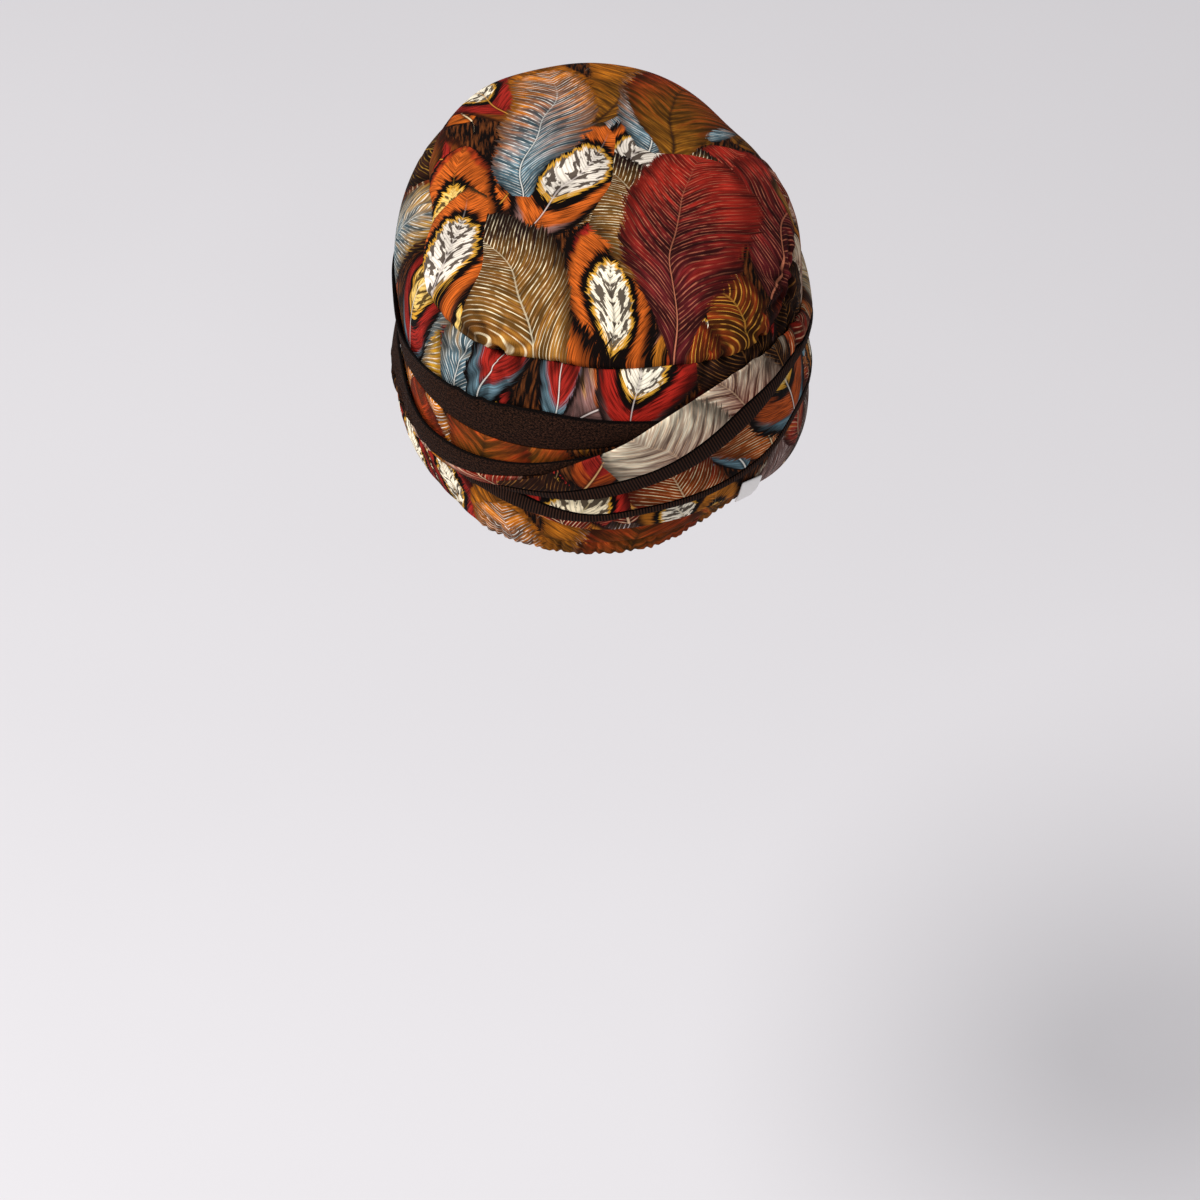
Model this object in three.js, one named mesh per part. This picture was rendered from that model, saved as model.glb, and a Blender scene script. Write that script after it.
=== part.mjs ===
import * as THREE from 'three';

// Turban headwrap: a cap of crown panel, side wall and gathered hem, with draped
// wraps that cross at the back. Millimetres. +Z up the crown axis, -Y the wearer's
// front, +X the wearer's left. The rim lies in the plane z = 0.
// Angles are degrees round the crown axis, 0 at the back, growing towards the
// wearer's right (-X).

// Named sizes
const CAP_REACH = 100;
const WALL_HEIGHT = 100;
const CROWN_HEIGHT = 140;
const CAP_CLOTH = 1.6;
const WRAP_CLOTH = 1.5;
const HEM_CLOTH = 2.6;
const HEM_HEIGHT = 8;
const TAB_CLOTH = 1.2;
const TAB_HEIGHT = 15;
const GAP = 0.5;
const EDGE_GAP = 0.25;
const WRAP_PUFF = 0.9;
const PUFF_FROM = 4;
const PUFF_FULL = 16;
const SPREAD = 4;
const SKIRT_FLAT = 2;
const SKIRT_END = 10;
const TAB_DROP = 3;
const DENT_LIMIT = 2.6;
const GROOVE_DEEP = 1.3;
const GROOVE_WIDE = 4.5;

// Degrees between columns of a grid, and between the hem's gathers
const STEP = 6;
const HEM_STEP = 3;
const TAB_STEP = 4;
const GATHER_PITCH = 9;
const SPREAD_ANGLE = 4;

// Shares of the cap's height where the plan sections of the wall lie
const FOOT_SHARE = 0.167;
const MID_SHARE = 0.417;
const BULGE_SHARE = 0.74;

// How nearly the cap turns square from wall to crown: 1 would be a sharp corner
const CORNER = 0.97;

// Rows of the grids: shares of a height, and of the way from the seam (1) to the top (2)
const WALL_ROWS = [0, 0.08, 0.17, 0.27, 0.38, 0.5, 0.62, 0.74, 0.84, 0.91, 0.96, 1];
const CROWN_ROWS = [1.07, 1.18, 1.34, 1.54, 1.77, 2];
const HEM_ROWS = [0, 0.325, 0.675, 1];
const PRINT_ROWS = 4;
const EDGE_ROWS = 2;
const TAB_ROWS = 3;

// Angles where the side tab starts and ends
const TAB_START = 38;
const TAB_END = 46;

// Looks
const PRINT = { color: 0xa8552a, roughness: 0.85, metalness: 0 };
const BROWN = { color: 0x2b1a14, roughness: 0.8, metalness: 0 };
const WHITE = { color: 0xf1efec, roughness: 0.7, metalness: 0 };

// Plan sections of the cap, a row every 15 degrees. rim, foot, mid, bulge and seam are
// per cent of CAP_REACH, and rise, the seam's height, is per cent of WALL_HEIGHT.
const PLAN = table(['angle', 'rim', 'foot', 'mid', 'bulge', 'seam', 'rise'], [
  [0, 98, 99.5, 101.5, 102.5, 91, 102.5],
  [15, 96, 98.5, 101, 102, 92.5, 102.5],
  [30, 89.5, 96, 100, 101, 98.5, 102.5],
  [45, 86, 93.5, 98, 99, 97, 97],
  [60, 89.5, 94.5, 95.5, 95.5, 91.5, 97],
  [75, 90, 93, 91.5, 91, 87.5, 104],
  [90, 89.5, 90.5, 89, 89.5, 85, 106],
  [105, 89, 89, 89.5, 91.5, 82.5, 107],
  [120, 92, 92, 92.5, 95.5, 83, 107],
  [135, 96, 96.5, 97, 97.5, 84.5, 106.5],
  [150, 100, 101, 102, 103, 90.5, 110],
  [165, 102, 104, 106, 107.5, 96.5, 113],
  [180, 103, 105, 107.5, 109.5, 99, 114.5],
  [195, 102, 104, 106.5, 108.5, 98.5, 115],
  [210, 100, 101, 103, 106.5, 98, 114.5],
  [225, 96, 97, 98.5, 104, 94, 112],
  [240, 92, 93, 93.5, 99.5, 86.5, 111],
  [255, 89, 91.5, 88.5, 95, 78, 109.5],
  [270, 88.5, 92, 85.5, 91, 73.5, 108],
  [285, 88.5, 92.5, 86.5, 91, 80, 107],
  [300, 88, 92.5, 91, 93.5, 87, 105.5],
  [315, 90.5, 94, 96.5, 98, 91, 104],
  [330, 96, 98, 100, 101.5, 92, 103],
  [345, 98, 99, 101, 102.5, 87.5, 102.5],
]);

// Dents in the cap: each is a valley whose middle line runs from (angle, up) to
// (angle_2, up_2). up is per cent of the seam's height (above 100 on the crown panel),
// wide is per cent of CAP_REACH and deep is in millimetres.
const DENTS = table(['angle', 'up', 'angle_2', 'up_2', 'wide', 'deep'], [
  [-28, 100, -22, 84, 4, 1.6],
  [-29, 100, -36, 80, 4, 1.8],
  [-30, 101, -34, 124, 4, 1.8],
  [-28, 101, -20, 116, 3.5, 1.2],
  [66, 100, 58, 88, 4, 1.6],
  [67, 100, 76, 82, 4, 1.8],
  [66, 101, 60, 122, 4, 1.8],
  [68, 101, 78, 118, 3.5, 1.4],
  [48, 100, 44, 88, 4, 1.2],
  [-84, 24, -52, 4, 4, 1.6],
  [-74, 30, -42, 6, 4, 1.6],
  [-62, 32, -32, 8, 4, 1.5],
  [-95, 22, -72, 2, 4, 1.4],
]);

// Hem gathers: how deep the pleats are, in millimetres, round the rim
const GATHERS = table(['angle', 'deep'], [
  [-180, 0],
  [-70, 0.2],
  [-45, 0.9],
  [-20, 1.3],
  [0, 1.3],
  [20, 1.3],
  [40, 0.9],
  [60, 0.2],
  [180, 0],
]);

// Wraps, from the cap outwards. Heights are per cent of WALL_HEIGHT. Cloth lies
// between low and high, and join is where its brown edge piece meets the print.
const EDGES = ['angle', 'low', 'join', 'high'];
const BASE = table(EDGES, [
  [-18, 25, 27, 29.5],
  [-7.5, 20, 24, 30],
  [0, 18.5, 24, 31],
  [15, 18, 24, 34],
  [30, 17.5, 24, 35.5],
  [37.5, 15, 24, 36.5],
  [45, 10.5, 24, 37.5],
  [60, 5, 24, 44.5],
  [75, 3, 22, 42.5],
  [90, 2.5, 18, 32],
  [120, 2, 14, 26.5],
  [150, 2, 14, 27],
  [180, 2.5, 15, 29],
  [204, 8, 15, 24],
  [216, 13, 15, 18],
]);
const RIGHT_LOWER = table(EDGES, [
  [-48, 31, 35, 38],
  [-37.5, 30, 34.5, 40],
  [-30, 30, 37.5, 43],
  [-22.5, 28.5, 39, 45.5],
  [-15, 26.5, 36, 46],
  [-7.5, 26.5, 33, 46],
  [0, 27, 32, 47.5],
  [7.5, 29, 34, 50.5],
  [15, 30, 35, 54],
  [30, 31.5, 36.5, 62],
  [45, 34, 39.5, 73.5],
  [60, 40.5, 46.5, 77.5],
  [75, 38.5, 45, 70],
  [90, 28, 35, 59.5],
  [105, 24.5, 31.5, 56.5],
  [150, 23, 30, 58.5],
  [180, 25, 32, 62],
  [192, 31, 37, 57],
  [198, 36, 40, 53],
]);
const LEFT_UPPER = table(EDGES, [
  [24, 66, 71, 78],
  [12, 63, 71.5, 81.5],
  [0, 61, 70, 84],
  [-15, 54, 67, 86],
  [-30, 48, 65, 84],
  [-45, 44, 65, 80.5],
  [-60, 41, 62, 75.5],
  [-75, 39, 57.5, 71],
  [-90, 38, 55.5, 69.5],
  [-120, 38, 54, 69],
  [-150, 40, 57, 73],
  [-180, 42, 60, 76],
  [-198, 50, 60, 68],
  [-204, 55, 59, 64],
]);
const LEFT_LOWER = table(EDGES, [
  [12, 58, 63, 69],
  [0, 54, 60, 68],
  [-15, 47, 54, 60],
  [-22.5, 41, 49, 57],
  [-30, 37, 44, 54],
  [-45, 32.5, 36.5, 50],
  [-60, 27.5, 31.5, 47],
  [-75, 27, 31, 45.5],
  [-90, 26.5, 30.5, 44.5],
  [-120, 26, 30.5, 43.5],
  [-150, 28, 33, 46],
  [-180, 31, 36, 49],
  [-198, 38, 41, 47],
  [-204, 40, 42, 45],
]);
const RIGHT_UPPER = table(EDGES, [
  [-24, 42.5, 44.5, 46.5],
  [-15, 42, 47, 54],
  [-7.5, 41.5, 48.5, 63],
  [0, 43, 51.5, 70],
  [7.5, 46, 56, 76],
  [15, 49.5, 61, 83],
  [22.5, 53, 66, 88],
  [30, 57.5, 71, 91.5],
  [37.5, 63, 76.5, 93.5],
  [45, 69, 79.5, 93],
  [52.5, 73, 81, 91],
  [60, 73.5, 80, 88],
  [75, 66, 73, 80],
  [90, 55, 62, 71],
  [105, 52, 59, 69],
  [120, 51.5, 58.5, 70],
  [150, 54, 61, 74],
  [180, 58, 65, 76],
  [192, 60, 65, 71],
  [198, 61, 64, 67],
]);

// Helpers
function table(columns, rows) {
  return rows.map((row) => Object.fromEntries(columns.map((name, i) => [name, row[i]])));
}

function clamp01(x) {
  return Math.min(1, Math.max(0, x));
}

function smooth(from, to, x) {
  const f = clamp01((x - from) / (to - from));
  return f * f * (3 - 2 * f);
}

// Periodic curve through a column of PLAN
function planValue(column, angle) {
  const count = PLAN.length;
  const x = (((angle % 360) + 360) % 360) / (360 / count);
  const i = Math.floor(x);
  const f = x - i;
  const a = PLAN[(i + count - 1) % count][column];
  const b = PLAN[i % count][column];
  const c = PLAN[(i + 1) % count][column];
  const d = PLAN[(i + 2) % count][column];
  const bend = 2 * a - 5 * b + 4 * c - d + f * (3 * (b - c) + d - a);
  return b + 0.5 * f * (c - a + f * bend);
}

// Smooth curve through a column of a table sorted by angle, flat past its ends
function along(rows, column, angle) {
  const sorted = rows[0].angle < rows[rows.length - 1].angle ? rows : [...rows].reverse();
  const last = sorted.length - 1;
  if (angle <= sorted[0].angle) {
    return sorted[0][column];
  }
  if (angle >= sorted[last].angle) {
    return sorted[last][column];
  }
  let i = 0;
  while (sorted[i + 1].angle < angle) {
    i += 1;
  }
  const slope = (k) => {
    const from = sorted[Math.max(0, k - 1)];
    const to = sorted[Math.min(last, k + 1)];
    return (to[column] - from[column]) / (to.angle - from.angle);
  };
  const span = sorted[i + 1].angle - sorted[i].angle;
  const f = (angle - sorted[i].angle) / span;
  const g = 1 - f;
  return (
    g * g * (1 + 2 * f) * sorted[i][column] +
    f * f * (3 - 2 * f) * sorted[i + 1][column] +
    f * g * span * (g * slope(i) - f * slope(i + 1))
  );
}

function seamHeight(angle) {
  return (planValue('rise', angle) * WALL_HEIGHT) / 100;
}

// The cap's plain surface. up is 0 at the rim, 1 at the crown seam and 2 at the top.
function capSection(angle, up) {
  const names = ['rim', 'foot', 'mid', 'bulge'];
  const at = [0, FOOT_SHARE, MID_SHARE, BULGE_SHARE];
  const seam = (planValue('seam', angle) * CAP_REACH) / 100;
  const rise = seamHeight(angle);
  if (up >= 1) {
    const turn = ((Math.min(up, 2) - 1) * Math.PI) / 2;
    return [seam * Math.cos(turn), rise + (CROWN_HEIGHT - rise) * Math.sin(turn)];
  }
  const reach = names.map((name) => (planValue(name, angle) * CAP_REACH) / 100);
  const height = up * rise;
  if (up >= BULGE_SHARE) {
    const u = (up - BULGE_SHARE) / (1 - BULGE_SHARE);
    const bow = Math.sqrt(1 - CORNER * u * u) - Math.sqrt(1 - CORNER) * u;
    return [seam + (reach[3] - seam) * bow, height];
  }
  const slopes = [
    (reach[1] - reach[0]) / (at[1] - at[0]),
    (reach[2] - reach[0]) / (at[2] - at[0]),
    (reach[3] - reach[1]) / (at[3] - at[1]),
    0,
  ];
  let k = 0;
  while (up > at[k + 1]) {
    k += 1;
  }
  const span = at[k + 1] - at[k];
  const f = clamp01((up - at[k]) / span);
  const g = 1 - f;
  const value =
    g * g * (1 + 2 * f) * reach[k] +
    f * f * (3 - 2 * f) * reach[k + 1] +
    f * g * span * (g * slopes[k] - f * slopes[k + 1]);
  return [value, height];
}

function capPoint(angle, up) {
  const [reach, height] = capSection(angle, up);
  const turn = (angle * Math.PI) / 180;
  return new THREE.Vector3(-reach * Math.sin(turn), reach * Math.cos(turn), height);
}

function capNormal(angle, up) {
  if (up > 1.97) {
    return new THREE.Vector3(0, 0, 1);
  }
  const low = Math.max(0, up - 0.02);
  const round = capPoint(angle + 1, up).sub(capPoint(angle - 1, up));
  const rise = capPoint(angle, up + 0.02).sub(capPoint(angle, low));
  return round.cross(rise).normalize();
}

// How far the dents press the cap in at a point
function dentDepth(angle, up) {
  let depth = 0;
  for (const dent of DENTS) {
    const round = (CAP_REACH * Math.PI) / 180;
    const rise = WALL_HEIGHT / 100;
    const ax = dent.angle * round;
    const ay = dent.up * rise;
    const bx = dent.angle_2 * round;
    const by = dent.up_2 * rise;
    const px = (((((angle + 180) % 360) + 360) % 360) - 180) * round;
    const py = up * 100 * rise;
    const length = (bx - ax) ** 2 + (by - ay) ** 2;
    const f = clamp01(((px - ax) * (bx - ax) + (py - ay) * (by - ay)) / length);
    const away = Math.hypot(px - ax - f * (bx - ax), py - ay - f * (by - ay));
    const wide = (dent.wide * CAP_REACH) / 100;
    depth += dent.deep * (1 - f) ** 0.5 * Math.exp(-((away / wide) ** 2));
  }
  return Math.min(depth, DENT_LIMIT);
}

// The groove along the crown seam
function seamGroove(up) {
  const away = ((up - 1) * WALL_HEIGHT) / GROOVE_WIDE;
  return GROOVE_DEEP * Math.exp(-away * away);
}

function onCap(angle, up, lift) {
  return capPoint(angle, up).addScaledVector(capNormal(angle, up), lift);
}

// A closed shell from a grid of outer points and one of inner points
function shell(outer, inner, closed) {
  const columns = outer.length;
  const rows = outer[0].length;
  const points = [...outer.flat(), ...inner.flat()];
  const id = (side, i, j) => side * columns * rows + (i % columns) * rows + j;
  const faces = [];
  const quad = (a, b, c, d) => {
    faces.push(a, c, b, a, d, c);
  };
  const spans = closed ? columns : columns - 1;
  for (let i = 0; i < spans; i += 1) {
    for (let j = 0; j < rows - 1; j += 1) {
      quad(id(0, i, j), id(0, i, j + 1), id(0, i + 1, j + 1), id(0, i + 1, j));
      quad(id(1, i, j), id(1, i + 1, j), id(1, i + 1, j + 1), id(1, i, j + 1));
    }
    quad(id(0, i, 0), id(0, i + 1, 0), id(1, i + 1, 0), id(1, i, 0));
    const top = rows - 1;
    quad(id(0, i, top), id(1, i, top), id(1, i + 1, top), id(0, i + 1, top));
  }
  if (!closed) {
    for (let j = 0; j < rows - 1; j += 1) {
      const end = columns - 1;
      quad(id(0, 0, j), id(1, 0, j), id(1, 0, j + 1), id(0, 0, j + 1));
      quad(id(0, end, j), id(0, end, j + 1), id(1, end, j + 1), id(1, end, j));
    }
  }
  const geometry = new THREE.BufferGeometry();
  const flat = points.flatMap((p) => [p.x, p.y, p.z]);
  geometry.setAttribute('position', new THREE.Float32BufferAttribute(flat, 3));
  geometry.setIndex(faces);
  geometry.computeVertexNormals();
  return geometry;
}

// A dome closed at the top: the last row of each grid is one shared point
function dome(outer, inner) {
  const columns = outer.length;
  const rows = outer[0].length;
  const points = [];
  const id = [[], []];
  [outer, inner].forEach((grid, side) => {
    for (let i = 0; i < columns; i += 1) {
      id[side].push([]);
      for (let j = 0; j < rows - 1; j += 1) {
        id[side][i].push(points.length);
        points.push(grid[i][j]);
      }
    }
    const apex = points.length;
    points.push(grid[0][rows - 1]);
    id[side].forEach((column) => column.push(apex));
  });
  const faces = [];
  for (let i = 0; i < columns; i += 1) {
    const n = (i + 1) % columns;
    for (let j = 0; j < rows - 2; j += 1) {
      const a = id[0];
      const b = id[1];
      faces.push(a[i][j], a[n][j + 1], a[i][j + 1], a[i][j], a[n][j], a[n][j + 1]);
      faces.push(b[i][j], b[i][j + 1], b[n][j + 1], b[i][j], b[n][j + 1], b[n][j]);
    }
    const last = rows - 2;
    faces.push(id[0][i][last], id[0][n][last], id[0][i][last + 1]);
    faces.push(id[1][i][last], id[1][i][last + 1], id[1][n][last]);
    faces.push(id[0][i][0], id[1][n][0], id[0][n][0]);
    faces.push(id[0][i][0], id[1][i][0], id[1][n][0]);
  }
  const geometry = new THREE.BufferGeometry();
  const flat = points.flatMap((p) => [p.x, p.y, p.z]);
  geometry.setAttribute('position', new THREE.Float32BufferAttribute(flat, 3));
  geometry.setIndex(faces);
  geometry.computeVertexNormals();
  return geometry;
}

const group = new THREE.Group();
group.name = 'turban_headwrap';

function add(name, geometry, look) {
  const mesh = new THREE.Mesh(geometry, new THREE.MeshStandardMaterial({ ...look }));
  mesh.name = name;
  mesh.material.name = name;
  group.add(mesh);
}

function steps(from, to, step) {
  const count = Math.max(1, Math.round(Math.abs(to - from) / step));
  return Array.from({ length: count + 1 }, (_, i) => from + ((to - from) * i) / count);
}

// Crown panel
const ROUND = steps(0, 360, STEP).slice(0, -1);
const SEAM_HALF = EDGE_GAP / WALL_HEIGHT;
const CROWN_UPS = [1 + 2 * SEAM_HALF, ...CROWN_ROWS];
function crownGrid(inset) {
  return ROUND.map((angle) =>
    CROWN_UPS.map((up) => onCap(angle, up, -dentDepth(angle, up) - seamGroove(up) - inset)),
  );
}
add('crown_panel', dome(crownGrid(0), crownGrid(CAP_CLOTH)), PRINT);

// Side wall, from above the hem to the crown seam
function wallUps(angle) {
  const start = (HEM_HEIGHT + 2 * EDGE_GAP) / seamHeight(angle);
  const end = 1 - SEAM_HALF;
  return WALL_ROWS.map((f) => start + (end - start) * f);
}
function wallGrid(inset) {
  return ROUND.map((angle) =>
    wallUps(angle).map((up) =>
      onCap(angle, up, -dentDepth(angle, up) - seamGroove(up) - inset),
    ),
  );
}
add('side_wall', shell(wallGrid(0), wallGrid(CAP_CLOTH), true), PRINT);

// Gathered hem: a turned casing drawn in by elastic, pleated at the nape
function hemLift(angle, height) {
  const turned = angle > 180 ? angle - 360 : angle;
  const deep = along(GATHERS, 'deep', turned);
  const fade = 1 - 0.65 * (height / HEM_HEIGHT);
  const wave = 0.5 + 0.5 * Math.cos((2 * Math.PI * turned) / GATHER_PITCH);
  return -deep * wave * fade;
}
function hemGrid(inset, topInset) {
  return steps(0, 360, HEM_STEP)
    .slice(0, -1)
    .map((angle) =>
      HEM_ROWS.map((share) => {
        const height = share * HEM_HEIGHT;
        const up = height / seamHeight(angle);
        const dents = dentDepth(angle, up);
        const thick = share === 1 ? topInset : inset;
        const point = onCap(angle, up, hemLift(angle, height) - dents - thick);
        point.z = height;
        return point;
      }),
    );
}
add('gathered_hem', shell(hemGrid(0, 0), hemGrid(HEM_CLOTH, CAP_CLOTH), true), PRINT);

// Wraps. under_back and under_front list what each one lies over at the back and at
// the front, where the crossing is the other way about.
const WRAPS = {
  base: wrap(BASE, [], []),
  right_lower: wrap(RIGHT_LOWER, ['base'], ['base']),
  left_upper: wrap(
    LEFT_UPPER,
    ['base', 'right_lower'],
    ['base', 'right_lower', 'right_upper'],
  ),
  left_lower: wrap(
    LEFT_LOWER,
    ['base', 'right_lower', 'left_upper'],
    ['base', 'right_lower', 'right_upper', 'left_upper'],
  ),
  right_upper: wrap(
    RIGHT_UPPER,
    ['base', 'right_lower', 'left_upper', 'left_lower'],
    ['base', 'right_lower'],
  ),
  tab: { ...wrap(BASE, ['base'], []), from: TAB_START, to: TAB_END },
};

function wrap(rows, under_back, under_front) {
  const angles = rows.map((row) => row.angle);
  return { rows, from: Math.min(...angles), to: Math.max(...angles), under_back, under_front };
}

function wrapEdge(wrap, column, angle) {
  return (along(WRAPS[wrap].rows, column, angle) * WALL_HEIGHT) / 100;
}

function isBack(angle) {
  return Math.cos((angle * Math.PI) / 180) > 0;
}

// The angle in a wrap's own range that is nearest to that range
function ownAngle(wrap, angle) {
  const middle = (WRAPS[wrap].from + WRAPS[wrap].to) / 2;
  return angle - 360 * Math.round((angle - middle) / 360);
}

// Rounded drape across the wrap, 0 at its edges
function puff(wrap, angle, height) {
  const low = wrapEdge(wrap, 'low', angle);
  const high = wrapEdge(wrap, 'high', angle);
  const f = clamp01((height - low) / (high - low));
  return WRAP_PUFF * Math.sqrt(Math.max(0, 4 * f * (1 - f))) * smooth(PUFF_FROM, PUFF_FULL, high - low);
}

// The lift of a wrap's inner side
function innerLift(wrap, angle, height) {
  let lift = 0;
  const list = isBack(angle) ? WRAPS[wrap].under_back : WRAPS[wrap].under_front;
  for (const other of list) {
    for (const [round, rise] of [[0, 0], [1, 0], [-1, 0], [0, 1], [0, -1]]) {
      const place = angle + round * SPREAD_ANGLE;
      lift = Math.max(lift, fieldLift(other, place, height + rise * SPREAD));
    }
  }
  return lift + GAP;
}

// The lift of a wrap's outer side as felt by what lies over it, with a skirt that
// falls away past its edges
function fieldLift(wrap, angle, height) {
  const own = ownAngle(wrap, angle);
  const { from, to } = WRAPS[wrap];
  const inside = Math.min(to, Math.max(from, own));
  const low = wrapEdge(wrap, 'low', inside);
  const high = wrapEdge(wrap, 'high', inside);
  const past = (Math.abs(own - inside) * CAP_REACH * Math.PI) / 180;
  const beyond = Math.max(0, low - height, height - high);
  const away = Math.hypot(past, beyond);
  if (away >= SKIRT_END) {
    return 0;
  }
  const within = Math.min(high, Math.max(low, height));
  const lift = innerLift(wrap, inside, within) + WRAP_CLOTH + puff(wrap, inside, within);
  return lift * (1 - smooth(SKIRT_FLAT, SKIRT_END, away));
}

function strip(wrap, lowOf, highOf, rows) {
  const angles = steps(WRAPS[wrap].from, WRAPS[wrap].to, STEP);
  const build = (side) =>
    angles.map((angle) => {
      const low = lowOf(angle);
      const high = highOf(angle);
      return steps(0, 1, 1 / rows).map((f) => {
        const height = low + (high - low) * f;
        const lift = innerLift(wrap, angle, height) + puff(wrap, angle, height);
        return onCap(angle, height / seamHeight(angle), lift + side * WRAP_CLOTH);
      });
    });
  return shell(build(1), build(0), false);
}

function printAndEdge(wrap, printName, edgeName, edgeOnTop) {
  const low = (angle) => wrapEdge(wrap, 'low', angle);
  const high = (angle) => wrapEdge(wrap, 'high', angle);
  const above = (angle) => wrapEdge(wrap, 'join', angle) + EDGE_GAP;
  const below = (angle) => wrapEdge(wrap, 'join', angle) - EDGE_GAP;
  if (edgeOnTop) {
    add(printName, strip(wrap, low, below, PRINT_ROWS), PRINT);
    add(edgeName, strip(wrap, above, high, EDGE_ROWS), BROWN);
  } else {
    add(printName, strip(wrap, above, high, PRINT_ROWS), PRINT);
    add(edgeName, strip(wrap, low, below, EDGE_ROWS), BROWN);
  }
}

// Base wrap, all print
const baseLow = (angle) => wrapEdge('base', 'low', angle);
const baseHigh = (angle) => wrapEdge('base', 'high', angle);
add('base_wrap', strip('base', baseLow, baseHigh, PRINT_ROWS), PRINT);

// Wraps with a brown edge piece
printAndEdge('right_lower', 'right_lower_wrap', 'right_lower_binding', false);
printAndEdge('left_upper', 'left_upper_wrap', 'left_upper_facing', true);
printAndEdge('left_lower', 'left_lower_wrap', 'left_lower_facing', true);
printAndEdge('right_upper', 'right_upper_wrap', 'right_upper_binding', false);

// Side tab, hanging over the base wrap's lower edge
function tabGrid(side) {
  return steps(TAB_START, TAB_END, TAB_STEP).map((angle) => {
    const low = baseLow(angle) - TAB_DROP;
    return steps(0, 1, 1 / TAB_ROWS).map((f) => {
      const height = low + TAB_HEIGHT * f;
      const lift = innerLift('tab', angle, height) + side * TAB_CLOTH;
      return onCap(angle, height / seamHeight(angle), lift);
    });
  });
}
add('side_tab', shell(tabGrid(1), tabGrid(0), false), WHITE);

export default group;
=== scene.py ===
"""Turban headwrap in printed jersey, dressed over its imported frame."""
import math

import bmesh
import bpy
import numpy as np
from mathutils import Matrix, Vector


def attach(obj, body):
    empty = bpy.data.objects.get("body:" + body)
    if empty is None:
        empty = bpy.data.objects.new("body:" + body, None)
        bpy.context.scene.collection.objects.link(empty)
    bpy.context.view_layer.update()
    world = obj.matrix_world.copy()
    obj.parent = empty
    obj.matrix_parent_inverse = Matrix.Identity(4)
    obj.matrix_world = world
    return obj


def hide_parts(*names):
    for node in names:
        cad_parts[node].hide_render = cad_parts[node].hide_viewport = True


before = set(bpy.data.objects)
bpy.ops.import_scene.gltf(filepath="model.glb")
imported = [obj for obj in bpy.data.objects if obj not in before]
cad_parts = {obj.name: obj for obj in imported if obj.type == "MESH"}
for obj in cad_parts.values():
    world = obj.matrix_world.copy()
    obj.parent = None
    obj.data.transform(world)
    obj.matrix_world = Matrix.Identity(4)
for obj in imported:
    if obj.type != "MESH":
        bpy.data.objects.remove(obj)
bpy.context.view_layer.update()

# Camera, worked out from the photograph's frame of 1200 x 1200
FRAME_PX = 1200
SENSOR_MM = 36.0
FOCAL_PX = 5076.0
PX_PER_MM = 2.25
ELEVATION = math.radians(41.0)
AIM = Vector((0.0, 0.0, 0.060))
AIM_ABOVE_CENTRE_PX = 295.0
FAR_CLIP = 50.0
FLOOR_DROP = 0.75
FLOOR_REACH = 12.0

# Studio: each softbox's name, place, size in metres and watts, then the air's even light
SOFTBOXES = [
    ("overhead softbox", (1.44, 1.12, 3.52), 1.45, 143.0),
    ("left softbox", (3.0, 1.35, 1.05), 1.05, 49.0),
    ("right softbox", (-1.8, 1.1, 0.9), 1.0, 7.0),
]
AIR_COLOUR = (0.96, 0.96, 1.0, 1.0)
AIR_STRENGTH = 0.32

# Cloth, in metres unless a name says millimetres
MM = 0.001
TINY = 0.00001
SHARP = math.radians(48.0)
QUAD_FLATNESS = math.radians(60.0)
QUAD_SKEW = math.radians(80.0)
EDGE_ROUND = 0.00045
MEAN_REACH_MM = 95.0
MM_PER_DEGREE = MEAN_REACH_MM * math.pi / 180.0
EDGE_STEP = 1.5
RIM_STEP = 3.0
CAP_LEVELS = 3
WRAP_LEVELS = 2

# Where the cap turns from its side to its crown, and how far its directions turn up
CROWN_FROM = 0.080
CROWN_OVER = 0.060
CROWN_TURN = math.radians(86.0)

# Turned edges: how far each seam's turn reaches, goes in, and laps over the next edge
SEAM_TURN_MM = 3.0
SEAM_IN_MM = 1.2
SEAM_LAP_MM = 0.9
HEM_TOP_MM = 8.1
HEM_IN_MM = 0.4
HEM_LAP_MM = 0.45

# Creases: the deepest they press, the low ridge beside one and how many widths away it
# lies, how far past a crease's ends it's still worked out, and how a lifted edge fades
DEEPEST_MM = 4.4
RIDGE = 0.35
RIDGE_AT = 2.1
NEAR_DEGREES = 16.0
NEAR_MM = 20.0
LIFT_FADE = 15.0

# Knit: its pitches, and how little it shines
RIB_PITCH_MM = 1.2
WALE_MM = 1.1
COURSE_MM = 0.9
SHINE = 0.06
SHEEN_ROUGHNESS = 0.4

# Print, in mm, except the shares: sway of the whole print, length and breadth of a leaf in
# its cell, pitch of veins and of an eye's hatching, and how many leaves are plain
SWAY_MM = 32.0
LEAF_LENGTH = 0.45
LEAF_LEAST = 0.32
LEAF_MORE = 0.16
VEIN_PITCH_MM = 2.0
HATCH_PITCH_MM = 1.7
PLAIN_LEAVES = 0.52

# Where the print starts on the cap's side and hem, in mm
CAP_PRINT = (20.0, 60.0)


# Camera, light and floor

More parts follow.
